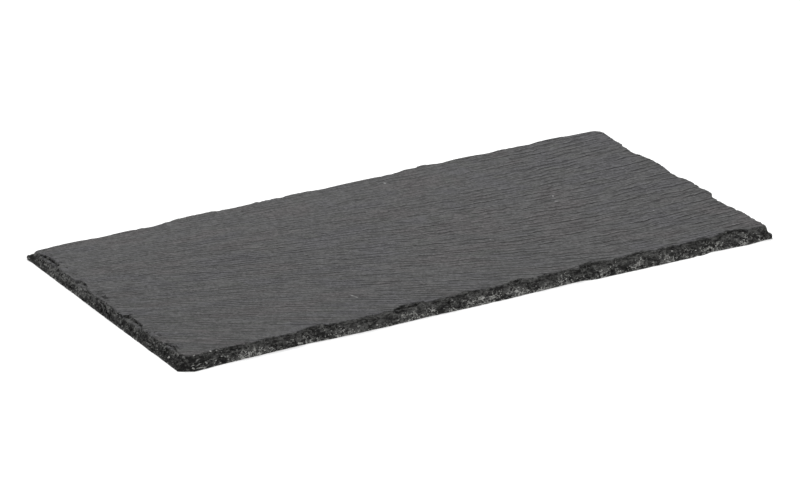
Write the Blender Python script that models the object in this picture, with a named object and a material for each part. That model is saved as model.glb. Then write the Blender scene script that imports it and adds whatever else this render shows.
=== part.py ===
"""Slate serving board: one slab of riven slate, 300 x 150 mm and about 5.5 mm thick, lying flat.

The slab is split along its cleavage, so its upper face keeps low ridges that fan across it. All
four edges are knapped downwards by hand. Each has a toe, the arris that meets the table, and a
brow, the uneven line of lobes and nicks where its bevel meets the upper face. The bevel between
them is covered with shallow flake scars, and thin layers have spalled off here and there.
Metres, +Z up. The origin is under the middle of the board, on the surface that it lies on.
"""

import math
import random

import bmesh
import bpy
from mathutils import Matrix, Vector, noise

MM = 0.001

LENGTH = 300 * MM  # along X
WIDTH = 150 * MM  # along Y
THICKNESS = 5.5 * MM
ARRIS = 0.7 * MM  # upright lip that the knapping leaves above the underside

# Each edge seen from above: where it starts, the way it runs and how long it is
EDGES = {
    "front": (Vector((-LENGTH / 2, -WIDTH / 2, 0)), Vector((1, 0, 0)), LENGTH),
    "right": (Vector((LENGTH / 2, -WIDTH / 2, 0)), Vector((0, 1, 0)), WIDTH),
    "back": (Vector((LENGTH / 2, WIDTH / 2, 0)), Vector((-1, 0, 0)), LENGTH),
    "left": (Vector((-LENGTH / 2, WIDTH / 2, 0)), Vector((0, -1, 0)), WIDTH),
}

# The toe and the brow of each edge, in mm. A lobe has the place along the edge where it starts,
# how far in from the edge's straight line it starts, and how far it swells out before the next.
TOES = {
    "front": (
        (0, 1.2, 0), (20, 2.6, 0), (64, 3.4, 0), (70, 2.6, 0), (100, 1.9, 0), (120, 2.3, 0.2),
        (160, 1.7, 0), (200, 2.6, 0), (204, 1.0, 0), (262, 0, 0), (267, 1.2, 0), (286, 0.1, 0),
        (300, 1.2, 0),
    ),
    "right": ((0, 0, 0), (38, 1.3, 0.6), (76, 0.9, 0.8), (112, 1.6, 0.7), (150, 0.8, 0)),
    "back": ((0, 1.0, 0.3), (70, 0.6, 0.6), (150, 1.4, 0.9), (236, 1.8, 1.2), (300, 1.1, 0)),
    "left": ((0, 0.3, 0.1), (150, 0, 0)),
}
BROWS = {
    "front": (
        (0, 5.6, 0), (34, 5.5, 0.3), (72, 6.0, 0.5), (100, 5.0, -0.4), (108, 5.2, 0.4),
        (150, 5.6, 0.3), (188, 5.4, 0.4), (228, 5.8, 0.8), (262, 5.4, 0.3), (300, 4.4, 0),
    ),
    "right": (
        (0, 2.6, 0), (5, 3.0, 1.5), (15, 2.2, 1.1), (27, 2.3, 0.9), (33, 3.2, 0.9), (40.5, 3.5, 2.0),
        (58.5, 1.0, 1.3), (74, 2.2, 0.2), (80, 2.3, 2.2), (109, 3.0, -0.6), (119, 2.2, 0.3),
        (124, 1.3, 0), (127, 2.2, 0.8), (150, 1.4, 0),
    ),
    "back": (
        (0, 6.0, 0.1), (17, 5.5, 1.3), (40, 5.9, 1.1), (62, 5.6, 1.0), (87, 5.1, 2.4),
        (113, 6.0, 0.1), (120, 6.0, 0.8), (151, 6.2, 1.1), (178.5, 5.3, 1.1), (188, 5.4, 0.2),
        (199, 5.7, 2.5), (241, 7.5, 0.7), (250, 6.1, 0.2), (266, 6.6, 1.3), (300, 6.8, 0),
    ),
    "left": (
        (0, 2.4, -0.3), (24, 2.3, 0.6), (52, 2.1, 0.5), (78, 1.9, 0.3), (95, 2.0, -0.8),
        (108, 2.3, 0.2), (124, 2.6, 0.2), (134, 4.4, 0.5), (150, 4.2, 0),
    ),
}
LOBE_STEPS = {  # between the points that follow the lobes, which are short on the right
    "front": 2.5 * MM,
    "right": 1.6 * MM,
    "back": 2.5 * MM,
    "left": 2.5 * MM,
}

# The corner where each edge starts, in mm: how much of the toe is broken off along the edge
# before and along this one, and how far back the brow starts to turn
CORNERS = {
    "front": (5.5, 6.0, 3.5),
    "right": (1.0, 1.0, 1.5),
    "back": (3.0, 3.5, 4.5),
    "left": (1.2, 1.4, 2.5),
}
CORNER_STEPS = 4

# Cells of the upper face. They are narrow in Y, across the ridges.
CELLS_X = 32
CELLS_Y = 40
TRIM_SPARE = 2 * MM  # how far the split sheet reaches past the board's finished outline

# The ridges of the cleavage face run almost level at the right and turn down towards the left.
FAN_LEVEL_X = 110 * MM  # where the ridges run along X
FAN_BEND = 4.2  # per metre: how fast they turn to the left of there
FAN_FRONT_SHARE = 0.68  # the turn at Y = 0, which grows towards the front
FAN_SHARE_SLOPE = -8.0  # per metre of Y
RIDGES = (  # length, spacing and height of each set
    (90 * MM, 26 * MM, 0.16 * MM),
    (45 * MM, 9 * MM, 0.12 * MM),
)

# Flakes struck off the edges. Each leaves the cap of a ball, sunk a little in the bevel. They are
# small where the bevel is steep, and those of the front and the left leave the brow jagged.
FLAKES = {  # where they are struck, from the toe to the brow, and the ball's radius and sinkage
    "front": ((0.5, 1.05), (6 * MM, 17 * MM), (0.2 * MM, 0.6 * MM)),
    "right": ((0.4, 0.6), (5 * MM, 9 * MM), (0.15 * MM, 0.3 * MM)),
    "back": ((0.45, 0.65), (6 * MM, 15 * MM), (0.2 * MM, 0.45 * MM)),
    "left": ((0.5, 0.95), (5 * MM, 10 * MM), (0.2 * MM, 0.4 * MM)),
}
FLAKE_PITCH = 5.6 * MM
FLAKE_YAW = math.radians(20)
FLAKE_TILT = math.radians(12)
BALL_CUTS = 2
BALL_SWELL = 1.02  # brings the faces of the ball back to its radius

# Thin layers spalled off the upper face along two of the edges
LEDGED_EDGES = ("front", "left")
LEDGE_PITCH = 36 * MM
LEDGE_LENGTH = (7 * MM, 18 * MM)
LEDGE_REACH = (1.0 * MM, 2.4 * MM)
LEDGE_DEPTH = (0.5 * MM, 1.3 * MM)
LEDGE_SIDES = 7
LEDGE_RAGGED = 0.22  # how uneven the outline is, as a share of its size

SHORTEST_EDGE = 0.06 * MM  # shorter ones, left where scars cross, are closed up

SLATE_GREY = (0.095, 0.096, 0.099, 1)
SLATE_ROUGHNESS = 0.62

SEED = 32


def clear_scene():
    for obj in list(bpy.data.objects):
        bpy.data.objects.remove(obj, do_unlink=True)


def collection(name):
    made = bpy.data.collections.new(name)
    bpy.context.scene.collection.children.link(made)
    return made


def ridge_height(x, y):
    """How far the cleavage face stands above or below the board's mean thickness."""
    left = min(x - FAN_LEVEL_X, 0)
    share = FAN_FRONT_SHARE + FAN_SHARE_SLOPE * y
    across = y - FAN_BEND / 2 * left * left * share
    height = 0
    for length, spacing, rise in RIDGES:
        height += rise * noise.noise(Vector((x / length, across / spacing, rise / MM)))
    return height


def split_sheet():
    """The sheet before its edges are knapped: a closed slab whose upper face has the ridges."""
    bm = bmesh.new()
    bmesh.ops.create_grid(bm, x_segments=CELLS_X, y_segments=CELLS_Y, size=0.5)
    for vert in bm.verts:
        x = vert.co.x * (LENGTH + 2 * TRIM_SPARE)
        y = vert.co.y * (WIDTH + 2 * TRIM_SPARE)
        vert.co = Vector((x, y, THICKNESS + ridge_height(x, y)))
    upper = list(bm.faces)
    lower = bmesh.ops.extrude_face_region(bm, geom=upper)["geom"]
    for vert in [item for item in lower if isinstance(item, bmesh.types.BMVert)]:
        vert.co.z = -TRIM_SPARE
    floor = [item for item in lower if isinstance(item, bmesh.types.BMFace)]
    bmesh.ops.dissolve_faces(bm, faces=floor)
    bmesh.ops.triangulate(bm, faces=bm.faces)
    bmesh.ops.recalc_face_normals(bm, faces=bm.faces)
    return finished_mesh(bm, "split_sheet")


def finished_mesh(bm, name):
    mesh = bpy.data.meshes.new(name)
    bm.to_mesh(mesh)
    bm.free()
    return mesh


def inward(edge):
    """The level direction from an edge towards the middle of the board."""
    along = EDGES[edge][1]
    return Vector((-along.y, along.x, 0))


def inset(lobes, place):
    """How far a toe or a brow lies in from its edge's straight line."""
    at = place / MM
    for (start, first, swell), (end, last, _) in zip(lobes, lobes[1:]):
        if at <= end:
            break
    t = min(max((at - start) / (end - start), 0), 1)
    return (first + (last - first) * t - 4 * swell * t * (1 - t)) * MM


def line_point(line, edge, place):
    """A point of the toe or the brow, seen from above."""
    start, along, _ = EDGES[edge]
    return start + along * place + inward(edge) * inset(line[edge], place)


def corner_point(line, edge):
    """Where a toe or a brow would meet the one of the edge before it if the corner were sharp."""
    before = edge_before(edge)
    own = inward(edge) * inset(line[edge], 0)
    other = inward(before) * inset(line[before], EDGES[before][2])
    return EDGES[edge][0] + own + other


def edge_before(edge):
    names = list(EDGES)
    return names[names.index(edge) - 1]


def outline_pairs():
    """The toe and the brow all round the board, as pairs of points that face each other."""
    names = list(EDGES)
    pairs = []
    for edge, after in zip(names, names[1:] + names[:1]):
        length = EDGES[edge][2]
        _, cut, turn = CORNERS[edge]
        cut_end, _, turn_end = CORNERS[after]
        brow_start = inset(BROWS[edge_before(edge)], length) + turn * MM
        brow_end = length - inset(BROWS[after], 0) - turn_end * MM
        toe_start, toe_end = cut * MM, length - cut_end * MM
        steps = round(length / LOBE_STEPS[edge])
        for step in range(steps + 1):
            t = step / steps
            toe = line_point(TOES, edge, toe_start + (toe_end - toe_start) * t)
            brow = line_point(BROWS, edge, brow_start + (brow_end - brow_start) * t)
            pairs.append((toe, brow))
        tip = corner_point(BROWS, after)
        last_toe, last_brow = pairs[-1]
        next_cut, next_turn = CORNERS[after][1] * MM, CORNERS[after][2] * MM
        next_toe = line_point(TOES, after, next_cut)
        next_start = inset(BROWS[edge], length) + next_turn
        next_brow = line_point(BROWS, after, next_start)
        for step in range(1, CORNER_STEPS):
            t = step / CORNER_STEPS
            toe = last_toe.lerp(next_toe, t)
            brow = last_brow.lerp(tip, t).lerp(tip.lerp(next_brow, t), t)
            pairs.append((toe, brow))
    return pairs


def knapped_block():
    """A block with the board's outline: upright at the arris, then sloping in to the brow."""
    pairs = outline_pairs()
    top = THICKNESS + TRIM_SPARE
    up = Vector((0, 0, 1))
    bm = bmesh.new()
    rings = []
    for height, which in ((0, 0), (ARRIS, 0), (THICKNESS, 1), (top, 1)):
        rings.append([bm.verts.new(pair[which] + up * height) for pair in pairs])
    count = len(pairs)
    for lower, upper in zip(rings, rings[1:]):
        for i in range(count):
            j = (i + 1) % count
            bm.faces.new((lower[i], lower[j], upper[j], upper[i]))
    bm.faces.new(reversed(rings[0]))
    bm.faces.new(rings[-1])
    bmesh.ops.triangulate(bm, faces=bm.faces)
    bmesh.ops.recalc_face_normals(bm, faces=bm.faces)
    return finished_mesh(bm, "knapped_block")


def add_flake(bm, edge, place, dice):
    """A ball that leaves one shallow scar somewhere on the bevel."""
    along = EDGES[edge][1]
    shares, radii, sinkages = FLAKES[edge]
    up = Vector((0, 0, 1))
    toe = line_point(TOES, edge, place) + up * ARRIS
    slope = line_point(BROWS, edge, place) + up * THICKNESS - toe
    struck = toe + slope * dice.uniform(*shares)
    facing = along.cross(slope).normalized()
    facing.rotate(Matrix.Rotation(dice.uniform(-FLAKE_YAW, FLAKE_YAW), 3, up))
    facing.rotate(Matrix.Rotation(dice.uniform(-FLAKE_TILT, FLAKE_TILT), 3, along))
    radius = dice.uniform(*radii)
    centre = struck + facing * (radius - dice.uniform(*sinkages))
    turned = Matrix.Rotation(dice.uniform(0, math.tau), 4, up)
    bmesh.ops.create_icosphere(
        bm,
        subdivisions=BALL_CUTS,
        radius=radius * BALL_SWELL,
        matrix=Matrix.Translation(centre) @ turned,
    )


def add_ledge_block(bm, edge, place, length, reach, depth, dice):
    """A flat-bottomed block with a ragged outline, which lifts a thin layer off the upper face."""
    along = EDGES[edge][1]
    height = 2 * THICKNESS
    centre = line_point(BROWS, edge, place)
    centre.z = THICKNESS - depth + height / 2
    made = bmesh.ops.create_cone(
        bm, cap_ends=True, segments=LEDGE_SIDES, radius1=1, radius2=1, depth=height
    )
    sides = {}
    for vert in made["verts"]:
        corner = round(math.atan2(vert.co.y, vert.co.x), 3)
        sides.setdefault(corner, dice.uniform(1 - LEDGE_RAGGED, 1 + LEDGE_RAGGED))
        x, y = vert.co.x * sides[corner] * length / 2, vert.co.y * sides[corner] * reach
        vert.co = centre + along * x + inward(edge) * y + Vector((0, 0, vert.co.z))


def struck_off(edge, dice):
    """Everything struck off one edge, as one mesh to subtract."""
    length = EDGES[edge][2]
    bm = bmesh.new()
    place = 0
    while place < length:
        add_flake(bm, edge, place, dice)
        place += FLAKE_PITCH * dice.uniform(0.5, 1.5)
    place = LEDGE_PITCH * dice.uniform(0.2, 0.8)
    while edge in LEDGED_EDGES and place < length:
        sizes = [dice.uniform(*span) for span in (LEDGE_LENGTH, LEDGE_REACH, LEDGE_DEPTH)]
        add_ledge_block(bm, edge, place, *sizes, dice)
        place += LEDGE_PITCH * dice.uniform(0.6, 1.4)
    return finished_mesh(bm, edge + "_flakes")


def cut(board, mesh, operation, cutters):
    """Adds one Boolean cut to the board, with its cutter kept out of sight."""
    cutter = bpy.data.objects.new(mesh.name, mesh)
    cutter.hide_render = True
    cutter.display_type = "WIRE"
    cutters.objects.link(cutter)
    modifier = board.modifiers.new(mesh.name, "BOOLEAN")
    modifier.operation = operation
    modifier.solver = "EXACT"
    modifier.use_self = True
    modifier.object = cutter


def slate_material():
    material = bpy.data.materials.new("slate")
    material.use_nodes = True
    shader = material.node_tree.nodes["Principled BSDF"]
    shader.inputs["Base Color"].default_value = SLATE_GREY
    shader.inputs["Roughness"].default_value = SLATE_ROUGHNESS
    shader.inputs["Metallic"].default_value = 0
    return material


def build():
    clear_scene()
    board_parts = collection("slate_serving_board")
    cutters = collection("cutters")
    dice = random.Random(SEED)
    board = bpy.data.objects.new("slate_board", split_sheet())
    board.data.materials.append(slate_material())
    board_parts.objects.link(board)
    cut(board, knapped_block(), "INTERSECT", cutters)
    for edge in EDGES:
        cut(board, struck_off(edge, dice), "DIFFERENCE", cutters)
    weld = board.modifiers.new("short edges", "WELD")
    weld.merge_threshold = SHORTEST_EDGE


build()
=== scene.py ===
"""Looks of the slate serving board: one slab of riven slate with hand-knapped edges, lying flat.

Metres, +Z up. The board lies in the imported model's own frame, with its long side along X.
"""

import math

import bpy
import numpy as np
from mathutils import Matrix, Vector, noise
from mathutils.bvhtree import BVHTree


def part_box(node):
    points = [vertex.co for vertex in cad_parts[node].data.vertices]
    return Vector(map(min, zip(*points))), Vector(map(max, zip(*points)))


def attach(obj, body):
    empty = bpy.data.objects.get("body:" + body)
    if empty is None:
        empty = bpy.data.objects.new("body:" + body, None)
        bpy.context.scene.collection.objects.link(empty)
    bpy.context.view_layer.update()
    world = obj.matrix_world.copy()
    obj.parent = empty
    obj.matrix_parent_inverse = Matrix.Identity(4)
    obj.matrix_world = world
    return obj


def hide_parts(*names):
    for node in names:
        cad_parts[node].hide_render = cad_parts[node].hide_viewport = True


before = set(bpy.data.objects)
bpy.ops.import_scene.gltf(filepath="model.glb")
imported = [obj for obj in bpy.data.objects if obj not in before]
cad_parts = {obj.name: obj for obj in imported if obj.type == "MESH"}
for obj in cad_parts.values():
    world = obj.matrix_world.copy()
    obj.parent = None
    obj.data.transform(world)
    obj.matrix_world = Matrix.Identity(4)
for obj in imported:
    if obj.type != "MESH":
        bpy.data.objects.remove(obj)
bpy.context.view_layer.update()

# The split upper face.
# Slate parts along its cleavage, so the face is a stack of leaves that end in low, wavy steps.
# The steps run almost level at the right end of the board and fan downwards to the left.

MM = 0.001

low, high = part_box("slate_board")
THICKNESS = 5.5 * MM

FAN_LEVEL_X = 110 * MM  # where the steps run along X
FAN_BEND = 4.2  # per metre: how fast they turn to the left of there
FAN_FRONT_SHARE = 0.68  # the turn at Y = 0, which grows towards the front
FAN_SHARE_SLOPE = -8.0  # per metre of Y
RIDGES = (  # length, spacing and height of each set of broad ridges
    (90 * MM, 26 * MM, 0.16 * MM),
    (45 * MM, 9 * MM, 0.12 * MM),
)
LEAVES = (  # length, spacing and height of each set of steps, how far they wander, and a seed
    (30 * MM, 8.0 * MM, 0.02 * MM, 1.0, 3.1),
    (15 * MM, 4.8 * MM, 0.05 * MM, 0.9, 8.4),
    (9 * MM, 3.1 * MM, 0.05 * MM, 0.8, 15.7),
)
RISER_SHARE = 0.24  # of the spacing between two steps, taken up by the step itself
LEAF_BREADTH = 1.7  # how far across the grain a wandering step keeps company, in spacings
LEAF_PATCHES = (-0.25, 0.3)  # of their noise: where the steps start to show, and where they do
PATCH_SEED = 20  # beside a set's own seed
SPALLED_CORNER = (-150 * MM, 75 * MM)  # where a flake has left the face lower
SPALL_REACH = (2 * MM, 14 * MM)  # from there: where it starts and ends to rise again
SPALL_DEPTH = 0.75 * MM

FIELD_INSET = {"front": 9.5 * MM, "right": 6.5 * MM, "back": 10.5 * MM, "left": 7.5 * MM}
FIELD_CELLS_X = 240
FIELD_CELLS_Y = 170

field_low = Vector((low.x + FIELD_INSET["left"], low.y + FIELD_INSET["front"]))
field_high = Vector((high.x - FIELD_INSET["right"], high.y - FIELD_INSET["back"]))


def noise_at(a, b, c):
    """Smooth noise, from about -1 to 1, at each of many points."""
    return np.array([noise.noise(point) for point in zip(a, b, np.broadcast_to(c, a.shape))])


def smooth(values, start, end):
    """0 up to start and 1 from end on, easing in between."""
    t = np.clip((values - start) / (end - start), 0, 1)
    return t * t * (3 - 2 * t)


def across_grain(x, y):
    """How far across the fan of steps a place lies."""
    left = np.minimum(x - FAN_LEVEL_X, 0)
    share = FAN_FRONT_SHARE + FAN_SHARE_SLOPE * y
    return y - FAN_BEND / 2 * left * left * share


def split_level(x, y):
    """The face's height without its leaves, lower at the corner that a flake has left."""
    across = across_grain(x, y)
    from_corner = np.hypot(x - SPALLED_CORNER[0], y - SPALLED_CORNER[1])
    height = THICKNESS - SPALL_DEPTH * (1 - smooth(from_corner, *SPALL_REACH))
    for length, spacing, rise in RIDGES:
        height += rise * noise_at(x / length, across / spacing, rise / MM)
    return height


def riven_face(x, y):
    """The face's height with its leaves, and how much of a riser there is at each place."""
    across = across_grain(x, y)
    height = split_level(x, y)
    riser = np.zeros(x.shape)
    for length, spacing, rise, wander, seed in LEAVES:
        drift = noise_at(x / length, across / (LEAF_BREADTH * spacing), seed)
        part = (across / spacing + wander * drift) % 1
        climb = np.where(part < RISER_SHARE, part / RISER_SHARE, (1 - part) / (1 - RISER_SHARE))
        patch = noise_at(x / length, across / spacing, seed + PATCH_SEED)
        shown = smooth(patch, *LEAF_PATCHES)
        height += rise * shown * (climb - 0.5)
        riser = np.maximum(riser, shown * (part < RISER_SHARE) * rise / LEAVES[1][2])
    return height, riser


# The knapped edges.
# Each edge is struck off downwards with the blade of a slate knife, which leaves a steep bevel of
# small flake scars over broken layers, a jagged brow and a crushed arris where it meets the table.

RIM_ROWS = 22
PROFILE_STEP = 0.12 * MM
PROFILE_HALVINGS = 12  # of the last step, to find where a profile leaves the solid
RIM_REACH = 1.5 * MM  # how far past the board's box the profiles are followed
CORNER_FAN = 7  # how late along a side the profiles turn towards the corner
FACE_WEIGHT = 0.35  # how close the rows are on the face, beside 1 on the bevel
BROW_MARGIN = 1.6 * MM  # of the face inside the brow, where they are as close as on the bevel
BROW_STEPS = 3
BROW_DROP = 0.12 * MM  # over those steps of a profile, which tells that it has passed the brow
LEAST_BEVEL = 0.5 * MM  # across
BEVEL_DEPTH = (0.05 * MM, 0.20 * MM)  # under the face: where the bevel starts and is all bevel
FIELD_BEVEL_DEPTH = (0.12 * MM, 0.38 * MM)  # the same where the bevel reaches past the rim
LEDGE_SLOPE = (0.25, 0.55)  # of a ledge where a layer spalled off, and of a bevel
LEDGE_HEIGHT = (3.4 * MM, 3.9 * MM)  # of the bevel under such ledges, and of the ledges
LEDGE_SCARS = 0.2  # how deep the scars are on a ledge, beside 1 on a bevel
LEDGE_INSIDE = 3 * MM  # a clean ledge is finished like the face this far inside the brow
LEDGE_CLEAN = {"front": 0, "right": 1, "back": 1, "left": 1}  # 0 where ledges are torn instead

SCARS = (  # along and down the bevel, depth and tilt of each set of broken faces
    (4.4 * MM, 1.9 * MM, 0.30 * MM, 0.42 * MM),
    (1.7 * MM, 0.95 * MM, 0.16 * MM, 0.26 * MM),
)
SCAR_SEED = 11
SCAR_SINK = 0.16 * MM  # keeps the broken faces from standing out of the solid
SCAR_STEEPEST = 2.6  # the slope up to which scars deepen with it, as they are cut square to it
FOOT = 1.4 * MM  # how high up the scars grow shallower towards the table
FOOT_SCARS = 0.3  # how deep they are at the table, beside 1 above the foot
LAYER = 1.3 * MM  # thickness of the layers that show as broken steps
LAYER_SHARE = 0.55  # how nearly the steps are level
LAYER_LEVEL = 0.35  # of a layer, before it falls to the next
LAYER_START = (0.1, 0.5)  # of the way down the bevel: where the layers start to show, and do
LAYER_WANDER = 1.1 * MM
LAYER_WAVES = 9 * MM
LAYER_SEED = 4.2
LEAST_HEIGHT = (0.15 * MM, 0.05 * MM)  # that a scar leaves, at the brow and at the foot
NICKS = (  # size, share and seed of each set of nicks in the arris
    (7 * MM, 1.0, 9.3),
    (2 * MM, 0.6, 2.7),
)
TOE_NICK = 0.3 * MM
CORNER_LUMPS = (  # station at the corner, how far its bevel bellies out, to which share, and a knob
    (2 * FIELD_CELLS_X, 1.7 * MM, 0.6, 1.3 * MM),
    (2 * (2 * FIELD_CELLS_X + FIELD_CELLS_Y), 1.4 * MM, 0.9, 1.9 * MM),
)
CORNER_LUMP_WIDTH = 3 * MM
BELLY_START = 0.15  # of the way down the bevel, where a belly is at its full
KNOB_START = (0.5, 0.66)  # of the way down: where a knob starts, and where it is at its full
KNOB_END = (0.75, 1)
KNOB_UNDERCUT = 0.75  # how much of a knob is gone at the table
SIDES = ("front", "right", "back", "left")  # in the order of the rim's stations
SIDE_CELLS = (FIELD_CELLS_X, FIELD_CELLS_Y, FIELD_CELLS_X, FIELD_CELLS_Y)
SIDE_BLUR = 25  # how many stations round a corner one side eases into the next
JAGGED = {"front": 1.1, "right": 0.12, "back": 0.12, "left": 1.1}  # how ragged the brow is
CRUSHED = {"front": 1.0, "right": 0.8, "back": 0.7, "left": 0.15}  # how full of pale grit and painted glints it is

cad_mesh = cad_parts["slate_board"].data
stone = BVHTree.FromPolygons(
    [vert.co for vert in cad_mesh.vertices], [face.vertices for face in cad_mesh.polygons]
)
DOWN = Vector((0, 0, -1))
HAIR = 0.002 * MM


def stone_top(x, y):
    """Height of the solid at a place seen from above, or None beside it."""
    for aside in (0, HAIR, -HAIR):  # a ray along an edge of the mesh can slip between its faces
        hit = stone.ray_cast(Vector((x + aside, y + aside / 2, high.z + MM)), DOWN)[0]
        if hit is not None:
            return hit.z
    return None


def side_stations(start, end, outer_start, outer_end, cells):
    """Points along one side of the field and, for each, a point beyond the board's edge."""
    pairs = []
    for cell in range(cells):
        inner = start.lerp(end, cell / cells)
        turn = 2 * cell / cells - 1
        straight = outer_start.lerp(outer_end, 0.5) + (inner - start.lerp(end, 0.5))
        corner = (outer_end - end) if turn > 0 else (outer_start - start)
        along = (end - start).normalized()
        off = corner.dot(along) * abs(turn) ** CORNER_FAN
        level = straight - along * straight.dot(along) + along * inner.dot(along)
        pairs.append((inner, level + along * off))
    return pairs


def section(inner, outer):
    """The solid's profile from the field out to the table: distances out, and heights."""
    reach = (outer - inner).length
    out = (outer - inner) / reach
    distances, heights = [], []
    hit_at, miss_at = 0, reach
    for step in range(int(reach / PROFILE_STEP)):
        distance = step * PROFILE_STEP
        height = stone_top(*(inner + out * distance))
        if height is None:
            miss_at = distance
            break
        hit_at = distance
        distances.append(distance)
        heights.append(height)
    last = heights[-1]
    for _ in range(PROFILE_HALVINGS):
        middle = (hit_at + miss_at) / 2
        height = stone_top(*(inner + out * middle))
        if height is None:
            miss_at = middle
        else:
            hit_at = middle
            last = height
    distances += [hit_at, hit_at]
    heights += [last, 0]
    return out, np.array(distances), np.array(heights)


corners = (
    (Vector((field_low.x, field_low.y)), Vector((low.x - RIM_REACH, low.y - RIM_REACH))),
    (Vector((field_high.x, field_low.y)), Vector((high.x + RIM_REACH, low.y - RIM_REACH))),
    (Vector((field_high.x, field_high.y)), Vector((high.x + RIM_REACH, high.y + RIM_REACH))),
    (Vector((field_low.x, field_high.y)), Vector((low.x - RIM_REACH, high.y + RIM_REACH))),
)
stations = []
for index, cells in enumerate(SIDE_CELLS):
    inner_start, outer_start = corners[index]
    inner_end, outer_end = corners[(index + 1) % 4]
    stations += side_stations(inner_start, inner_end, outer_start, outer_end, 2 * cells)
rim_count = len(stations)

rim_out = np.zeros((rim_count, 2))
rim_start = np.zeros((rim_count, 2))
rim_brow = np.zeros((rim_count, 1))
rim_fall = np.zeros((rim_count, 1))
rim_distance = np.zeros((rim_count, RIM_ROWS + 1))
rim_height = np.zeros((rim_count, RIM_ROWS + 1))
rim_unrolled = np.zeros((rim_count, RIM_ROWS + 1))
for index, (inner, outer) in enumerate(stations):
    out, distances, heights = section(inner, outer)
    drops = heights[:-BROW_STEPS] - heights[BROW_STEPS:]
    brow = distances[np.argmax(drops > BROW_DROP)]
    lengths = np.hypot(np.diff(distances), np.diff(heights))
    weights = np.where(distances[1:] < brow - BROW_MARGIN, FACE_WEIGHT, 1)
    travelled = np.concatenate([[0], np.cumsum(lengths)])
    weighted = np.concatenate([[0], np.cumsum(lengths * weights)])
    places = np.linspace(0, weighted[-1], RIM_ROWS + 1)
    rim_start[index], rim_out[index], rim_brow[index] = inner, out, brow
    rim_fall[index] = (THICKNESS - heights[-2]) / max(distances[-1] - brow, LEAST_BEVEL)
    rim_distance[index] = np.interp(places, weighted, distances)
    rim_height[index] = np.interp(places, weighted, heights)
    rim_unrolled[index] = np.interp(places, weighted, travelled)

toe = rim_start + rim_out * rim_distance[:, -1:]
toe_steps = np.hypot(*(np.roll(toe, -1, axis=0) - toe).T)
perimeter = toe_steps.sum()
rim_along = np.repeat((np.cumsum(toe_steps) - toe_steps)[:, None], RIM_ROWS + 1, axis=1)
rim_down = rim_unrolled[:, -1:] - rim_unrolled


def broken_faces(along, down, size, rise, tilt, dice):
    """Depth of small broken faces, each with its own level and slope, and sharp edges between."""
    count_along = round(perimeter / size[0])
    pitch = np.array((perimeter / count_along, size[1]))
    count_down = int(down.max() / size[1]) + 3
    centres = dice.uniform(0.1, 0.9, (count_along, count_down, 2))
    levels = dice.uniform(-1, 1, (count_along, count_down))
    slopes = dice.uniform(-1, 1, (count_along, count_down, 2))
    place = np.stack([along / pitch[0], down / pitch[1]], axis=-1)
    cell = np.floor(place).astype(int)
    nearest = np.full(along.shape, np.inf)
    depth = np.zeros(along.shape)
    for step_along in (-1, 0, 1):
        for step_down in (-1, 0, 1):
            there = cell + (step_along, step_down)
            row = np.clip(there[..., 1], -1, count_down - 2) + 1
            column = there[..., 0] % count_along
            apart = place - there - centres[column, row]
            distance = (apart**2).sum(axis=-1)
            found = rise * levels[column, row] + tilt * (slopes[column, row] * apart).sum(axis=-1)
            depth = np.where(distance < nearest, found, depth)
            nearest = np.minimum(nearest, distance)
    return depth


def by_side(amounts):
    """One amount for each station, easing from side to side round the corners."""
    each = [np.full(2 * cells, amounts[side]) for side, cells in zip(SIDES, SIDE_CELLS)]
    each = np.concatenate(each)
    blur = np.ones(SIDE_BLUR) / SIDE_BLUR
    return np.convolve(np.tile(each, 3), blur, "same")[rim_count : 2 * rim_count, None]


dice = np.random.default_rng(SCAR_SEED)
scars = np.full(rim_along.shape, -SCAR_SINK)
for along_size, down_size, rise, tilt in SCARS:
    scars += broken_faces(rim_along, rim_down, (along_size, down_size), rise, tilt, dice)

toe_x, toe_y = toe.T
nicks = np.zeros(rim_count)
for size, share, seed in NICKS:
    nicks += share * np.abs(noise_at(toe_x / size, toe_y / size, seed))
rim_share = np.clip((rim_distance - rim_brow) / (rim_distance[:, -1:] - rim_brow), 0, 1)
rim_distance = rim_distance - TOE_NICK * nicks[:, None] * rim_share**2
rim_slope = -np.gradient(rim_height, axis=1) / np.maximum(np.gradient(rim_distance, axis=1), HAIR)
on_ledge = smooth(rim_height, *LEDGE_HEIGHT) * (1 - smooth(rim_slope, *LEDGE_SLOPE))
on_ledge = on_ledge * by_side(LEDGE_CLEAN)
for corner, belly, belly_end, knob in CORNER_LUMPS:
    beside = np.exp(-(((rim_along - rim_along[corner]) / CORNER_LUMP_WIDTH) ** 2))
    bellied = smooth(rim_share, 0, BELLY_START) * np.clip(1 - rim_share / belly_end, 0, 1)
    rounded = smooth(rim_share, *KNOB_START) - KNOB_UNDERCUT * smooth(rim_share, *KNOB_END)
    rim_distance += beside * (belly * bellied + knob * rounded)
rim_x = rim_start[:, :1] + rim_out[:, :1] * rim_distance
rim_y = rim_start[:, 1:] + rim_out[:, 1:] * rim_distance

# Inside the brow the bevel is carried on above the face, so that a deep scar can cut back into it
steep = np.hypot(1, np.minimum(rim_fall, SCAR_STEEPEST))
bevel = rim_height + np.maximum(rim_brow - rim_distance, 0) * rim_fall
wander = noise_at(rim_x.ravel() / LAYER_WAVES, rim_y.ravel() / LAYER_WAVES, LAYER_SEED)
layer = ((bevel + LAYER_WANDER * wander.reshape(rim_x.shape)) / LAYER) % 1
stepped = (smooth(layer, LAYER_LEVEL, 1) - layer) * smooth(rim_share, *LAYER_START)
bevel = bevel + LAYER * LAYER_SHARE * stepped
jagged = by_side(JAGGED) * (1 - rim_share) + rim_share
above_foot = FOOT_SCARS + (1 - FOOT_SCARS) * smooth(rim_height, 0, FOOT)
off_ledge = 1 - (1 - LEDGE_SCARS) * on_ledge
bevel = bevel + scars * steep * jagged * above_foot * off_ledge
face_z, rim_riser = (part.reshape(rim_x.shape) for part in riven_face(rim_x.ravel(), rim_y.ravel()))
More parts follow.
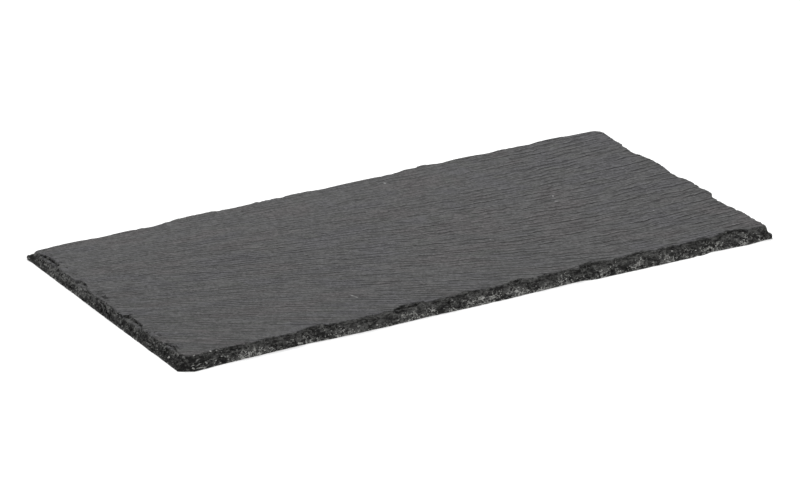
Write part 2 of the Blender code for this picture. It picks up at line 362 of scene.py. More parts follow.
least = LEAST_HEIGHT[0] * (1 - rim_share) + LEAST_HEIGHT[1] * rim_share
rim_z = np.minimum(face_z, np.maximum(bevel, least))
rim_z[:, -1] = 0
knapped = smooth(face_z - rim_z, *BEVEL_DEPTH) * (1 - on_ledge)
rim_riser = rim_riser * (1 - knapped)
rim_crushed = np.broadcast_to(by_side(CRUSHED), knapped.shape)

# The field inside the rim

field_x, field_y = np.meshgrid(
    np.linspace(field_low.x, field_high.x, FIELD_CELLS_X + 1),
    np.linspace(field_low.y, field_high.y, FIELD_CELLS_Y + 1),
    indexing="ij",
)
face_z, field_riser = riven_face(field_x.ravel(), field_y.ravel())
solid_z = np.array([stone_top(*place) for place in zip(field_x.ravel(), field_y.ravel())])
depth = split_level(field_x.ravel(), field_y.ravel()) - solid_z
field_knapped = smooth(depth, *FIELD_BEVEL_DEPTH)
field_z = face_z + (np.minimum(solid_z, face_z) - face_z) * field_knapped

# The underside.
# It is split too, but it was laid on its high places: it rests on its rim and is hollow by a hair.

BASE_CELLS_X = 120
BASE_CELLS_Y = 85
BASE_RING = 2 * MM
BASE_HOLLOW = 0.25 * MM
BASE_EASE = 12 * MM  # how far in from its edge the hollow is at its full

base_x, base_y = np.meshgrid(
    np.linspace(field_low.x, field_high.x, BASE_CELLS_X + 1),
    np.linspace(field_low.y, field_high.y, BASE_CELLS_Y + 1),
    indexing="ij",
)
base_face, base_riser = riven_face(base_x.ravel(), -base_y.ravel())
base_edge = np.minimum.reduce(
    [base_x - field_low.x, field_high.x - base_x, base_y - field_low.y, field_high.y - base_y]
).ravel()
base_z = smooth(base_edge, 0, BASE_EASE) * np.clip(
    BASE_HOLLOW / 2 + (base_face - THICKNESS), 0, BASE_HOLLOW
)

# All vertices: the field, the rim's rows from the inside out, the ring under it, the underside

field_index = np.arange(field_x.size).reshape(field_x.shape)


def ring_of(grid):
    """The indices round a grid, in the order of the rim's stations."""
    return np.concatenate([grid[:-1, 0], grid[-1, :-1], grid[:0:-1, -1], grid[0, :0:-1]])


rim_index = field_x.size + np.arange(rim_count * RIM_ROWS).reshape(rim_count, RIM_ROWS)
ring_first = field_x.size + rim_index.size
ring_index = ring_first + np.arange(rim_count // 2)
base_index = ring_first + ring_index.size + np.arange(base_x.size).reshape(base_x.shape)

toe = np.stack([rim_x[::2, -1], rim_y[::2, -1]], axis=1)
inward = rim_start[::2] - toe
ring = toe + inward / np.hypot(*inward.T)[:, None] * BASE_RING

places = np.concatenate(
    [
        np.stack([field_x.ravel(), field_y.ravel(), field_z], axis=1),
        np.stack([part[:, 1:].ravel() for part in (rim_x, rim_y, rim_z)], axis=1),
        np.concatenate([ring, np.zeros((len(ring), 1))], axis=1),
        np.stack([base_x.ravel(), base_y.ravel(), base_z], axis=1),
    ]
)


def quads(grid):
    """The faces of a grid of indices, facing up where the grid is laid out X first."""
    return np.stack(
        [grid[:-1, :-1], grid[1:, :-1], grid[1:, 1:], grid[:-1, 1:]], axis=-1
    ).reshape(-1, 4)


def joined_rings(coarse, fine):
    """Triangles between a ring and one outside it with twice as many vertices, facing up."""
    a, b = coarse, np.roll(coarse, -1)
    start, middle, end = fine[::2], fine[1::2], np.roll(fine[::2], -1)
    return np.concatenate(
        [
            np.stack([a, start, middle], axis=-1),
            np.stack([a, middle, b], axis=-1),
            np.stack([b, middle, end], axis=-1),
        ]
    )


closed_rim = np.concatenate([rim_index, rim_index[:1]])
upper_faces = (
    quads(field_index).tolist()
    + joined_rings(ring_of(field_index), rim_index[:, 0]).tolist()
    + quads(closed_rim)[:, ::-1].tolist()
)
lower_faces = (
    joined_rings(ring_index, rim_index[:, -1])[:, ::-1].tolist()
    + joined_rings(ring_of(base_index), ring_index)[:, ::-1].tolist()
    + quads(base_index)[:, ::-1].tolist()
)

slab_mesh = bpy.data.meshes.new("slate_slab")
slab_mesh.from_pydata(places.tolist(), [], upper_faces + lower_faces)
slab = bpy.data.objects.new("slate_slab", slab_mesh)
bpy.context.scene.collection.objects.link(slab)

# What the finish reads at each vertex: bevel or face, risers, and the run of the grain

knapped_at = np.zeros(len(places))
knapped_at[: field_x.size] = field_knapped
knapped_at[rim_index] = knapped[:, 1:]
riser_at = np.zeros(len(places))
riser_at[: field_x.size] = field_riser * (1 - field_knapped)
riser_at[rim_index] = rim_riser[:, 1:]
riser_at[base_index.ravel()] = base_riser
crushed_at = np.zeros(len(places))
crushed_at[rim_index] = rim_crushed[:, 1:]
inside_at = np.full(len(places), high.x)
inside_at[rim_index] = np.maximum(rim_brow - rim_distance, LEDGE_INSIDE * on_ledge)[:, 1:]
for name, values in (
    ("knapped", knapped_at),
    ("riser", riser_at),
    ("crushed", crushed_at),
    ("inside", inside_at),
):
    slab_mesh.attributes.new(name, "FLOAT", "POINT").data.foreach_set("value", values)
grain_at = np.stack([places[:, 0], across_grain(places[:, 0], places[:, 1]), places[:, 2]], axis=1)
slab_mesh.attributes.new("grain", "FLOAT_VECTOR", "POINT").data.foreach_set(
    "vector", grain_at.ravel()
)

corner_vertex = np.zeros(len(slab_mesh.loops), dtype=np.int32)
slab_mesh.loops.foreach_get("vertex_index", corner_vertex)
face_start = np.zeros(len(slab_mesh.polygons), dtype=np.int32)
slab_mesh.polygons.foreach_get("loop_start", face_start)
face_knapped = np.add.reduceat(knapped_at[corner_vertex], face_start) / np.diff(
    np.append(face_start, len(corner_vertex))
)
slab_mesh.polygons.foreach_set("use_smooth", face_knapped < 0.5)

# The map that a bake of the finish uses: the face with its edges folded out, and the underside

MAP_GAP = 4 * MM

unrolled = rim_start[:, None, :] + rim_out[:, None, :] * rim_unrolled[..., None]
flat_places = places[:, :2].copy()
flat_places[rim_index] = unrolled[:, 1:]
upper_corners = sum(len(face) for face in upper_faces)
corner_uv = flat_places[corner_vertex]
corner_uv[upper_corners:] = places[corner_vertex[upper_corners:], :2]
upper_low = corner_uv[:upper_corners].min(axis=0)
upper_high = corner_uv[:upper_corners].max(axis=0)
corner_uv[upper_corners:, 1] += upper_high[1] - low.y + MAP_GAP
map_side = (corner_uv.max(axis=0) - upper_low).max() + 2 * MAP_GAP
corner_uv = (corner_uv - upper_low + MAP_GAP) / map_side
bake_map = slab_mesh.uv_layers.new(name="OFBake")
bake_map.data.foreach_set("uv", corner_uv.ravel())

# The finish of the slate, and how its nodes are put together

slate = bpy.data.materials.new("slate")
slate.use_nodes = True
nodes, links = slate.node_tree.nodes, slate.node_tree.links
shader = nodes["Principled BSDF"]


def node(kind, settings, inputs):
    """Adds a node to the slate, with its inputs given as values or as other nodes' outputs."""
    made = nodes.new("ShaderNode" + kind)
    for name, value in settings.items():
        setattr(made, name, value)
    for name, value in inputs.items():
        if isinstance(value, bpy.types.NodeSocket):
            links.new(value, made.inputs[name])
        else:
            made.inputs[name].default_value = value
    return made


def attribute(name, output="Fac"):
    return node("Attribute", {"attribute_name": name}, {}).outputs[output]


def calculate(operation, first, second=0.0, third=0.0):
    return node("Math", {"operation": operation}, {0: first, 1: second, 2: third}).outputs[0]


def times(first, second):
    return calculate("MULTIPLY", first, second)


def plus(value, more, share):
    """The value and a share of another one."""
    return calculate("MULTIPLY_ADD", more, share, value)


def changed(value, where, share):
    """The value, changed by this share of itself where the other one is 1."""
    return times(value, calculate("MULTIPLY_ADD", where, share, 1.0))


def ease(value, start, end, low_result=0.0, high_result=1.0):
    """Maps a value from start..end to the two results, smoothly."""
    settings = {"interpolation_type": "SMOOTHSTEP"}
    inputs = {0: value, 1: start, 2: end, 3: low_result, 4: high_result}
    return node("MapRange", settings, inputs).outputs[0]


def fade(value, start, end):
    """1 up to start and 0 from end on, easing in between."""
    return ease(value, start, end, 1.0, 0.0)


def band(value, start, full, fading, end):
    """1 between the middle two values, easing to 0 at the outer two."""
    return times(ease(value, start, full), fade(value, fading, end))


def mixed(factor, first, second):
    return node("Mix", {"data_type": "RGBA"}, {0: factor, 6: first, 7: second}).outputs[2]


def mixed_values(factor, first, second):
    return node("Mix", {"data_type": "FLOAT"}, {0: factor, 2: first, 3: second}).outputs[0]


def vector_math(operation, first, second=(0, 0, 0)):
    return node("VectorMath", {"operation": operation}, {0: first, 1: second})


def stretched(place, shares):
    return vector_math("MULTIPLY", place, shares).outputs[0]


def speckle(place, size, detail=2.0, roughness=0.5):
    """Noise whose lumps are about this size, from 0 to 1."""
    inputs = {"Vector": place, "Scale": 1 / size, "Detail": detail, "Roughness": roughness}
    return node("TexNoise", {}, inputs).outputs[0]


def chips(place, size):
    """Broken cells of about this size: a node with a random colour and a centre for each."""
    return node("TexVoronoi", {}, {"Vector": place, "Scale": 1 / size})


def dice_of(cells, channel="Red"):
    """A random number from 0 to 1 for each cell."""
    return node("SeparateColor", {}, {0: cells.outputs["Color"]}).outputs[channel]


def from_crack(place, size):
    """How far a place is from the cracks between cells of about this size, in cells."""
    settings = {"feature": "DISTANCE_TO_EDGE"}
    return node("TexVoronoi", settings, {"Vector": place, "Scale": 1 / size}).outputs["Distance"]


def pushed(place, size, detail, reach):
    """A place pushed about by waves of this size, by up to half of the reach to each side."""
    inputs = {"Vector": in_stone, "Scale": 1 / size, "Detail": detail}
    waves = node("TexNoise", {}, inputs).outputs["Color"]
    waves = vector_math("SUBTRACT", waves, (0.5, 0.5, 0.5)).outputs[0]
    return vector_math("ADD", place, stretched(waves, reach)).outputs[0]


def stroke(start, end, across, upward):
    """1 along a straight mark between two places, easing to 0 at its sides. All in mm."""
    start, end = Vector(start) * MM, Vector(end) * MM
    inputs = {
        "Vector": frayed_stone,
        "Location": start.lerp(end, 0.5),
        "Rotation": (end - start).to_track_quat("X", "Z").to_euler(),
        "Scale": ((end - start).length / 2, across / 2 * MM, upward / 2 * MM),
    }
    spot = node("Mapping", {"vector_type": "TEXTURE"}, inputs).outputs[0]
    return fade(vector_math("LENGTH", spot).outputs["Value"], 0.5, 1.1)


in_stone = node("TexCoord", {}, {}).outputs["Object"]
stone_axes = node("SeparateXYZ", {}, {0: in_stone})
height = stone_axes.outputs["Z"]
frayed_stone = pushed(in_stone, 1.2 * MM, 2.0, (0.8 * MM,) * 3)  # frays the sides of strokes
grain = attribute("grain", "Vector")
is_knapped = attribute("knapped")
is_riser = attribute("riser")
is_crushed = attribute("crushed")
inside_brow = attribute("inside")

# Face: greys that drift from bluish to brownish, painted shade along the ends of leaves and a
# painted highlight on their lips, and dust

FACE_GREYS = (  # bluish, plain, brownish and greenish
    (0.0600, 0.0594, 0.0628, 1),
    (0.0604, 0.0602, 0.0606, 1),
    (0.0628, 0.0596, 0.0604, 1),
    (0.0602, 0.0608, 0.0594, 1),
)
DRIFT_SIZE = 16 * MM
GREENISH_SIZE = 9 * MM
HAIR_LEAVES = (  # length and spacing, how far they waver, in spacings, and how plain they are
    (13 * MM, 3.7 * MM, 1.2, 0.6),
    (8 * MM, 2.5 * MM, 1.2, 0.48),
)
LEAF_END = (0.0, 0.1, 0.22, 0.36)  # the band of a spacing that a leaf's dark end, its painted shade, takes up
LEAF_LIP = (0.3, 0.42, 0.42, 0.66)  # and its pale lip, a painted highlight
LIP_SHARE = 0.5  # how much paler a lip is than its end is darker
FRAYS = (  # size and reach of the waves and frays of the leaves' ends
    (5.5 * MM, 1.1 * MM),
    (1.7 * MM, 0.45 * MM),
)
QUIET = 0.6  # how plain the ends are at the back, beside 1 at the front and the right
QUIET_BACK = (10 * MM, 55 * MM)  # Y where they start to grow quiet, and where they are
PLAIN_RIGHT = (50 * MM, 110 * MM)  # X where they start to grow plain again, and where they are
DUST_SIZE = 0.9 * MM
DUST_SHADE = (0.7, 0.62)  # of the darkest dust, and how much more the palest has
RISER_PAINTED_SHADE = 0.8  # painted shade on the risers of the steps, beside 1 on the leaves
DENT_SHADE_DARK = 0.6
SHADED_DENTS = (  # dents of the face, drawn only as painted shade: both ends, in mm, and how wide they are
    ((-6.9, 49.0, 5.5), (-0.6, 49.7, 5.5), 1.1),
    ((3.3, 48.2, 5.5), (11, 48.6, 5.5), 0.8),
    ((-10.4, -29.5, 5.5), (0.5, -31.8, 5.5), 0.9),
    ((-61.7, 23.6, 5.5), (-47.9, 17.2, 5.5), 0.9),
)


def leaf_step_shading(length, spacing, wander):
    """Painted shade and highlight where hair-thin leaves end, also used as their relief: -1 along
    an end, above 0 on its lip, and 0 in between.
    """
    bends = speckle(stretched(frayed, (4 * spacing / length, 1, 1)), 4 * spacing, 1.0)
    phase = calculate("ADD", calculate("DIVIDE", frayed_across, spacing), times(bends, wander))
    part = calculate("FRACT", phase)
    end = times(band(part, *LEAF_END), -1.0)
    shown = speckle(stretched(grain, (spacing / length, 1, 1)), 0.9 * spacing, 1.0)
    return times(plus(end, band(part, *LEAF_LIP), LIP_SHARE), ease(shown, 0.38, 0.58))


frayed = grain
for size, reach in FRAYS:
    frayed = pushed(frayed, size, 1.0, (2 * reach, 2 * reach, 0))
frayed_across = node("SeparateXYZ", {}, {0: frayed}).outputs["Y"]
drift = speckle(stretched(grain, (0.6, 1, 1)), DRIFT_SIZE, 3.0)
tone = mixed(ease(drift, 0.36, 0.5), FACE_GREYS[0], FACE_GREYS[1])
tone = mixed(ease(drift, 0.5, 0.64), tone, FACE_GREYS[2])
greenish = speckle(stretched(grain, (0.7, 1, 1)), GREENISH_SIZE, 1.0)
tone = mixed(ease(greenish, 0.6, 0.72), tone, FACE_GREYS[3])
plain_front = ease(stone_axes.outputs["Y"], *QUIET_BACK, 1.0, QUIET)
plain_right = ease(stone_axes.outputs["X"], *PLAIN_RIGHT, QUIET, 1.0)
plainness = calculate("MAXIMUM", plain_front, plain_right)
shade = 1.0
face_relief = 0.0
for length, spacing, wander, plain in HAIR_LEAVES:
    step_shading_and_relief = times(leaf_step_shading(length, spacing, wander), plainness)
    # the leaf ends darken the face with painted shade and lighten their lips with a painted
    # highlight; the same values give the bump its relief
    shade = changed(shade, step_shading_and_relief, plain)
    face_relief = plus(face_relief, step_shading_and_relief, spacing / (3 * MM))
dust = dice_of(chips(stretched(in_stone, (1, 0.7, 1)), DUST_SIZE))
shade = times(shade, plus(DUST_SHADE[0], dust, DUST_SHADE[1]))
# painted shade on the risers of the leaves' steps
shade = times(shade, ease(is_riser, 0.2, 1.0, 1.0, RISER_PAINTED_SHADE))
# painted shade where the face has small dents
for start, end, width in SHADED_DENTS:
    shade = changed(shade, stroke(start, end, width, THICKNESS / MM), -DENT_SHADE_DARK)

# Thin flakes have come off the face beside a ragged brow, and left a wandering edge, darkened with
# painted shade

FLAKED = 7 * MM  # how far in from the brow
FLAKED_PLACES = 9 * MM  # the size of the places where they have
FLAKE_EDGE = (-1.3 * MM, -0.7 * MM, 0.1 * MM, 0.6 * MM)  # the band beside a flake's end
FLAKE_INSIDE = (-1.8 * MM, -1.2 * MM)  # beside it: where the bared stone gives way to the face
FLAKE_EDGE_SHADE = 0.85
FLAKE_BLOTCHES = (-0.45, 0.3)  # how much darker and paler the stone is under a flake
SMOOTH_BROW = 0.15  # how plain flakes are at the left brow, beside 1 at a ragged one

ragged_brow = ease(is_crushed, 0.2, 0.8, 1.0, SMOOTH_BROW)
flaked_places = speckle(stretched(in_stone, (1, 0.7, 1)), FLAKED_PLACES, 2.0)
flaked_to = ease(flaked_places, 0.38, 0.64, 0.0, FLAKED)
past_flake = calculate("SUBTRACT", inside_brow, flaked_to)
edge_shown = times(ease(speckle(in_stone, 3 * MM, 1.0), 0.36, 0.5), ragged_brow)
# painted shade along the step at each flake's edge
shade = changed(shade, times(band(past_flake, *FLAKE_EDGE), edge_shown), -FLAKE_EDGE_SHADE)
blotch = ease(speckle(in_stone, 1.6 * MM, 2.0, 0.7), 0.4, 0.6, *FLAKE_BLOTCHES)
shade = changed(shade, times(fade(past_flake, *FLAKE_INSIDE), ragged_brow), blotch)
face_colour = node("VectorMath", {"operation": "SCALE"}, {0: tone, "Scale": shade}).outputs[0]

# Pale scuffs of the face

SCUFF_PALE = (0.30, 0.30, 0.30, 1)
SCUFFS = (  # middle in X and Y, length, width, how it lies from X, and how pale it is
    (-52 * MM, -48 * MM, 5.5 * MM, 1.1 * MM, math.radians(-69), 0.8),
    (85 * MM, 8 * MM, 3.0 * MM, 1.0 * MM, math.radians(60), 0.5),
    (83 * MM, 2 * MM, 2.6 * MM, 1.0 * MM, math.radians(-20), 0.5),
    (27 * MM, 61 * MM, 1.6 * MM, 1.8 * MM, 0, 0.8),
    (-56 * MM, 20.5 * MM, 17 * MM, 1.0 * MM, math.radians(-25), 0.4),
    (-117 * MM, 52 * MM, 1.2 * MM, 1.4 * MM, 0, 0.4),
    (33 * MM, -22 * MM, 1.0 * MM, 1.4 * MM, 0, 0.5),
    (115 * MM, -30 * MM, 1.0 * MM, 1.4 * MM, 0, 0.5),
)

scuffed = 0.0
for x, y, length, width, turn, strength in SCUFFS:
    inputs = {
        "Vector": in_stone,
        "Location": (x, y, THICKNESS),
        "Rotation": (0, 0, turn),
        "Scale": (length / 2, width / 2, THICKNESS),
    }
    spot = node("Mapping", {"vector_type": "TEXTURE"}, inputs).outputs[0]
    from_middle = vector_math("LENGTH", spot).outputs["Value"]
    scuffed = calculate("MAXIMUM", scuffed, ease(from_middle, 0.5, 1.0, strength, 0.0))
scuffed = times(scuffed, ease(dust, 0.2, 0.6, 0.3, 1.0))
face_colour = mixed(scuffed, face_colour, SCUFF_PALE)

# Bevels: almost black where the stone broke clean, and grey where it tore; the black is partly the
# fresh break's own dark colour and partly painted shade of edges that face away from the soft box

BROKEN_BLACK_AND_SHADE = (0.009, 0.009, 0.0085, 1)
BROKEN_GREY = (0.084, 0.084, 0.081, 1)
CRACK_SHADE_BLACK = (0.003, 0.003, 0.003, 1)
CRUSHED_GREY = (0.118, 0.118, 0.114, 1)
CHIP_SIZE = 2.2 * MM
CRUMB_SIZE = 0.9 * MM
FACET_SIZE = 7 * MM
CHIP_SHARE = 0.42  # how much each of these counts in how torn a place is
CRUMB_SHARE = 0.43
TORN_SHARE = 0.6
FACET_SHARE = 0.12  # up or down
HALF_TORN = 0.72  # the sum of them that is half black and half grey
TORN_GREY = (-0.2, 0.2)  # beside that: where the grey starts, and where it is all grey
TORN_PALE = (0.25, 0.5)  # the same for the paler grey
SMOOTH_FOOT_SHADE = (-0.28, -0.06)  # painted shade: how much less torn, so darker, the left bevel is, at its foot and at its brow
SMOOTH_CONTRAST = 1.8  # how much sharper its black and grey are
SMOOTH_LIT_PATCHES = (12 * MM, 0.18)  # size of its greyer patches, painted light on upper facets that face the light, and how much more torn they are
SCALE_SIZE = 5 * MM
SCALES = 5  # how many scaly steps the left bevel goes through
SCALE_TONES = (-0.45, 0.2)  # at the foot and at the lip of each of them
BROKEN_CORNER = (-143 * MM, -71 * MM, 2.5 * MM)
CORNER_REACH = (4 * MM, 10 * MM)  # where the broken corner starts and ends to be like the rest
CORNER_DARK = 0.16
LAYERED = 0.9  # how plainly the layers show in the upper half of the other bevels
LAYERED_FROM = (1.6 * MM, 3.4 * MM)  # the height where they start to show, and where they do
LAYERED_TEARING = 0.55  # how much of the rest they take the place of
LAYERED_CRACKS = 0.4
CRACK_SHADE_DARK = 0.85

jolted = pushed(in_stone, 1.5 * MM, 3.0, (1.2 * MM, 1.2 * MM, 0.8 * MM))
chip_place, crumb_place = stretched(jolted, (0.8, 0.8, 1.5)), stretched(jolted, (1, 1, 1.4))
chip_cells, crumb_cells = chips(chip_place, CHIP_SIZE), chips(crumb_place, CRUMB_SIZE)
facets = chips(stretched(jolted, (0.8, 0.8, 1.2)), FACET_SIZE)
chip_tone = dice_of(chip_cells)
tearing = times(chip_tone, CHIP_SHARE)
tearing = plus(tearing, dice_of(crumb_cells), CRUMB_SHARE)
tearing = plus(tearing, speckle(in_stone, 1.4 * MM, 3.0, 0.65), TORN_SHARE)
facet_tone = ease(dice_of(facets), 0.0, 1.0, -FACET_SHARE, FACET_SHARE)
tearing = calculate("ADD", tearing, facet_tone)

smooth_bevel = fade(is_crushed, 0.3, 0.9)
# painted shade: the left bevel grows darker towards its foot
tearing = plus(tearing, ease(height, 0.6 * MM, 4 * MM, *SMOOTH_FOOT_SHADE), smooth_bevel)
# painted light: greyer patches on the upper part of the left bevel, where its facets would catch
# the light
patch = ease(speckle(in_stone, SMOOTH_LIT_PATCHES[0], 1.0), 0.5, 0.62)
patch = times(patch, ease(height, 1.5 * MM, 3.5 * MM))
tearing = plus(tearing, times(patch, SMOOTH_LIT_PATCHES[1]), smooth_bevel)
scales = speckle(stretched(jolted, (0.8, 0.8, 1.7)), SCALE_SIZE, 1.0)
scale_part = calculate("FRACT", times(scales, SCALES))
scale_foot = ease(scale_part, 0.0, 0.22, SCALE_TONES[0], 0.0)
scale_tone = calculate("ADD", scale_foot, ease(scale_part, 0.5, 0.95, 0.0, SCALE_TONES[1]))
tearing = plus(tearing, scale_tone, ease(smooth_bevel, 0.0, 1.0, 0.25, 1.0))
corner_distance = vector_math("DISTANCE", in_stone, BROKEN_CORNER).outputs["Value"]
at_corner = fade(corner_distance, *CORNER_REACH)
tearing = plus(tearing, at_corner, -CORNER_DARK)
tearing = changed(calculate("SUBTRACT", tearing, HALF_TORN), smooth_bevel, SMOOTH_CONTRAST)

laminae = speckle(stretched(jolted, (0.2, 0.2, 1.5)), 0.8 * MM, 2.0)
laminae = times(calculate("SUBTRACT", laminae, 0.5), LAYERED)
layered = times(ease(height, *LAYERED_FROM), calculate("SUBTRACT", 1.0, smooth_bevel))
tearing = changed(tearing, layered, -LAYERED_TEARING)
tearing = plus(tearing, laminae, layered)
# the black is partly painted shade of the bevels
broken_colour = mixed(ease(tearing, *TORN_GREY), BROKEN_BLACK_AND_SHADE, BROKEN_GREY)
broken_colour = mixed(ease(tearing, *TORN_PALE), broken_colour, CRUSHED_GREY)
crack_shown = ease(speckle(in_stone, 3 * MM, 1.0), 0.42, 0.55)
# painted shade in the cracks between chips
crack_shade = times(fade(from_crack(chip_place, CHIP_SIZE), 0.06, 0.2), crack_shown)
crack_shade = changed(crack_shade, layered, -LAYERED_CRACKS)
broken_colour = mixed(times(crack_shade, CRACK_SHADE_DARK), broken_colour, CRACK_SHADE_BLACK)

# Crushed stone: a grey haze, pale seams, and pale flecks that are partly grit and partly painted
# glints, most of them near the table

GRIT_AND_GLINT_PALE = (0.36, 0.36, 0.345, 1)
CRUSHED_PLACES = 7 * MM  # their size along the bevel
CRUSHED_HEIGHT = (0.2 * MM, 4.8 * MM)  # where it starts to thin out, and where it ends
ARRIS_HEIGHT = (0.2 * MM, 0.8 * MM)
ARRIS_CRUSH_AND_HIGHLIGHT = 0.3  # how much more crushed and pale the arris is: partly crushed grit, partly a painted highlight along it
CORNER_CLEAN = 0.85  # how much less of it there is at the broken corner
HAZE_SIZE = 0.9 * MM
HAZE = 0.7  # how grey crushed stone is at most between its flecks
SEAM_SIZE = 2.4 * MM
GLINT_FLECKS = ((0.5 * MM, 0.26), (0.9 * MM, 0.13))  # size, and the share of the cells that are pale grit and painted glints

crushing = ease(speckle(in_stone, CRUSHED_PLACES, 2.5), 0.38, 0.6, 0.15, 1.1)
crushing = times(fade(height, *CRUSHED_HEIGHT), crushing)
crushing = times(crushing, ease(dice_of(facets, "Green"), 0.25, 0.6, 0.25, 1.15))
# partly crushed grit and partly a painted highlight along the arris
arris_crush_and_highlight = ease(height, *ARRIS_HEIGHT, ARRIS_CRUSH_AND_HIGHLIGHT, 0.0)
crushing = times(calculate("ADD", crushing, arris_crush_and_highlight), is_crushed)
crushing = changed(crushing, at_corner, -CORNER_CLEAN)
haze = ease(speckle(in_stone, HAZE_SIZE, 3.0, 0.7), 0.45, 0.62, 0.0, HAZE)
broken_colour = mixed(times(haze, crushing), broken_colour, CRUSHED_GREY)
seam_shown = ease(speckle(in_stone, 2.5 * MM, 1.0), 0.52, 0.6)
seam = times(fade(from_crack(jolted, SEAM_SIZE), 0.03, 0.09), seam_shown)
seam = times(seam, ease(crushing, 0.0, 0.5, 0.15, 0.9))
broken_colour = mixed(seam, broken_colour, GRIT_AND_GLINT_PALE)
ragged = speckle(in_stone, 0.5 * MM, 1.0)
# painted glints: pale flecks on small facets, partly real pale grit
for size, share in GLINT_FLECKS:
    fleck_dice = dice_of(chips(stretched(jolted, (0.7, 0.7, 1.1)), size), "Green")
    chosen = calculate("LESS_THAN", fleck_dice, times(crushing, share))
    broken_colour = mixed(times(chosen, ease(ragged, 0.42, 0.55)), broken_colour, GRIT_AND_GLINT_PALE)

colour = mixed(is_knapped, face_colour, broken_colour)

# Painted highlights: bright spots and streaks on the ribs of the scar at the broken corner, and on
# the brow

HIGHLIGHT_PALE = (0.5, 0.5, 0.48, 1)
PAINTED_HIGHLIGHTS = (  # both ends, in mm, how wide they are across and upwards, and how pale
    ((-144.6, -72.4, 1.3), (-143.3, -72.6, 1.1), 3, 0.65, 0.9),
    ((-143.6, -72.5, 1.0), (-137.0, -72.9, 0.8), 3, 0.4, 0.6),
    ((-144.8, -72.2, 1.7), (-142.6, -71.2, 3.1), 3, 0.35, 0.5),
    ((-142.8, -71.4, 3.0), (-139.6, -70.4, 4.0), 3, 0.35, 0.3),
    ((-143.2, -72.0, 1.9), (-139.3, -71.8, 2.5), 3, 0.35, 0.5),
    ((-138.0, -71.8, 2.0), (-136.8, -71.6, 2.2), 3, 0.5, 0.6),
    ((-136.4, -71.4, 2.4), (-131.6, -71.0, 2.8), 3, 0.35, 0.5),
    ((-142.4, -68.8, 5.2), (-141.0, -68.7, 5.3), 2, 0.45, 0.6),
    ((-134.3, -68.7, 5.3), (-133.1, -68.6, 5.4), 2, 0.45, 0.5),
    ((-131.2, -68.5, 5.2), (-130.2, -68.4, 5.2), 2, 0.4, 0.5),
    ((-148.6, -58.4, 2.2), (-148.0, -59.0, 2.0), 3, 0.8, 0.8),
)

highlighted = 0.0
for start, end, across, upward, strength in PAINTED_HIGHLIGHTS:
    highlight = times(stroke(start, end, across, upward), strength)
    highlighted = calculate("MAXIMUM", highlighted, highlight)
highlighted = times(highlighted, ease(ragged, 0.3, 0.5, 0.45, 1.0))
colour = mixed(highlighted, colour, HIGHLIGHT_PALE)
links.new(colour, shader.inputs["Base Color"])

# Gloss: a slight one on the face, and one that differs from chip to chip on the bevels

FACE_ROUGHNESS = (0.5, 0.62)
BEVEL_ROUGHNESS = (0.38, 0.65)
SPECULAR_LEVEL = 0.12

face_roughness = ease(speckle(grain, 5 * MM, 2.0), 0.3, 0.7, *FACE_ROUGHNESS)
bevel_roughness = ease(chip_tone, 0.0, 1.0, *BEVEL_ROUGHNESS)
roughness = mixed_values(is_knapped, face_roughness, bevel_roughness)
links.new(roughness, shader.inputs["Roughness"])
shader.inputs["Specular IOR Level"].default_value = SPECULAR_LEVEL

# Relief too fine for the mesh: hair-thin leaves on the face, and tilted chips on the bevels

RELIEF_DEPTH = 0.16 * MM
PORE_SIZE = 0.6 * MM
FACE_PORES = 0.3  # how deep the pores are, in relief depths
BEVEL_PORES = 0.6
CHIP_TILT = 1 / (0.35 * MM)  # how steep the chips and crumbs lean, in relief depths per metre
CRUMB_TILT = 1 / (0.25 * MM)

pores = speckle(in_stone, PORE_SIZE, 3.0, 0.6)
face_relief = plus(face_relief, pores, FACE_PORES)
bevel_relief = times(pores, BEVEL_PORES)
for place, cells, tilt in (
    (chip_place, chip_cells, CHIP_TILT),
    (crumb_place, crumb_cells, CRUMB_TILT),
):
    leaning = vector_math("SUBTRACT", cells.outputs["Color"], (0.5, 0.5, 0.5)).outputs[0]
    off_centre = vector_math("SUBTRACT", place, cells.outputs["Position"]).outputs[0]
    lean = vector_math("DOT_PRODUCT", leaning, off_centre).outputs["Value"]
    bevel_relief = plus(bevel_relief, lean, tilt)
relief = mixed_values(is_knapped, face_relief, bevel_relief)
bump = node("Bump", {}, {"Height": relief, "Distance": RELIEF_DEPTH, "Strength": 1.0})
links.new(bump.outputs[0], shader.inputs["Normal"])

slab_mesh.materials.append(slate)
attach(slab, "root")
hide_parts("slate_board")

# The table.
# A plain near-white surface under the board, much wider than the picture.

TABLE_SIDE = 8.0
TABLE_WHITE = (0.95, 0.95, 0.95, 1)
TABLE_ROUGHNESS = 0.9

half = TABLE_SIDE / 2
table_corners = [(-half, -half, 0), (half, -half, 0), (half, half, 0), (-half, half, 0)]
table_mesh = bpy.data.meshes.new("table")
table_mesh.from_pydata(table_corners, [], [(0, 1, 2, 3)])
table = bpy.data.objects.new("table", table_mesh)
table_paint = bpy.data.materials.new("table_paint")
table_paint.use_nodes = True
paint_shader = table_paint.node_tree.nodes["Principled BSDF"]
paint_shader.inputs["Base Color"].default_value = TABLE_WHITE
paint_shader.inputs["Roughness"].default_value = TABLE_ROUGHNESS
paint_shader.inputs["Specular IOR Level"].default_value = 0
table_mesh.materials.append(table_paint)
bpy.context.scene.collection.objects.link(table)

# Studio light.
# White walls all round, and a wide soft box behind and above the board, which leaves the edges
# that face the camera in their own shade.

WALL_STRENGTH = 0.8
SOFT_BOX_SIDE = 2.4
SOFT_BOX_DISTANCE = 4.0
SOFT_BOX_POWER = 117
SOFT_BOX_AZIMUTH = math.radians(5)  # from +Y towards +X
SOFT_BOX_ELEVATION = math.radians(56)

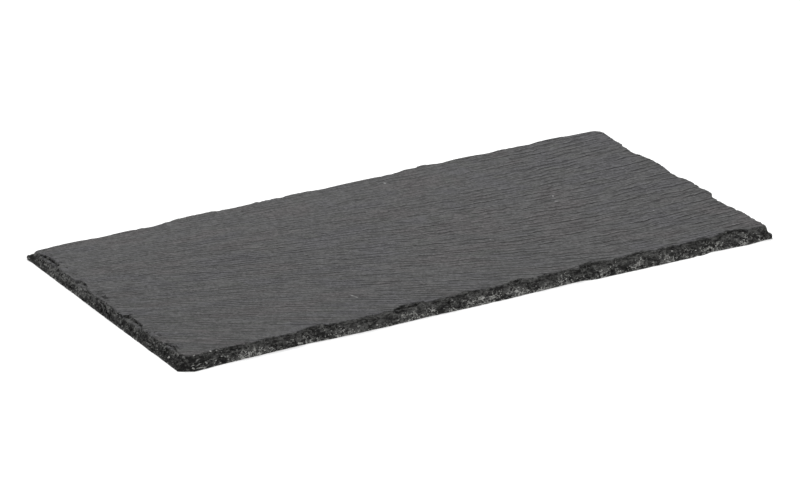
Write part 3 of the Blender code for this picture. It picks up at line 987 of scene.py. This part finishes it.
world = bpy.data.worlds.new("studio")
world.use_nodes = True
world.node_tree.nodes["Background"].inputs["Color"].default_value = (1, 1, 1, 1)
world.node_tree.nodes["Background"].inputs["Strength"].default_value = WALL_STRENGTH
bpy.context.scene.world = world

light = bpy.data.lights.new("soft_box", "AREA")
light.shape = "SQUARE"
light.size = SOFT_BOX_SIDE
light.energy = SOFT_BOX_POWER
soft_box = bpy.data.objects.new("soft_box", light)
towards_box = Vector(
    (
        math.sin(SOFT_BOX_AZIMUTH) * math.cos(SOFT_BOX_ELEVATION),
        math.cos(SOFT_BOX_AZIMUTH) * math.cos(SOFT_BOX_ELEVATION),
        math.sin(SOFT_BOX_ELEVATION),
    )
)
soft_box.location = towards_box * SOFT_BOX_DISTANCE
soft_box.rotation_mode = "QUATERNION"
soft_box.rotation_quaternion = towards_box.to_track_quat("Z", "Y")
bpy.context.scene.collection.objects.link(soft_box)
bpy.context.scene.view_settings.view_transform = "Standard"

# The camera, at the photograph's viewing angle.

CAMERA_AZIMUTH = math.radians(-30.46)
CAMERA_ELEVATION = math.radians(22.35)
CAMERA_DISTANCE = 2.067
CAMERA_AIM = Vector((0.55 * MM, 1.4 * MM, 0))
CAMERA_LENS = 207.9
CAMERA_SENSOR = 36.0
CAMERA_RIGHT = -0.4 * MM  # moved aside and up, as the board isn't in the middle of the picture
CAMERA_UP = -1.8 * MM

back = Vector(
    (
        math.sin(CAMERA_AZIMUTH) * math.cos(CAMERA_ELEVATION),
        -math.cos(CAMERA_AZIMUTH) * math.cos(CAMERA_ELEVATION),
        math.sin(CAMERA_ELEVATION),
    )
)
right = Vector((math.cos(CAMERA_AZIMUTH), math.sin(CAMERA_AZIMUTH), 0))
up = back.cross(right)
camera_data = bpy.data.cameras.new("camera")
camera_data.lens = CAMERA_LENS
camera_data.sensor_width = CAMERA_SENSOR
camera = bpy.data.objects.new("camera", camera_data)
camera.location = CAMERA_AIM + back * CAMERA_DISTANCE + right * CAMERA_RIGHT + up * CAMERA_UP
camera.rotation_mode = "QUATERNION"
camera.rotation_quaternion = back.to_track_quat("Z", "Y")
bpy.context.scene.collection.objects.link(camera)
bpy.context.scene.camera = camera

bpy.context.view_layer.update()
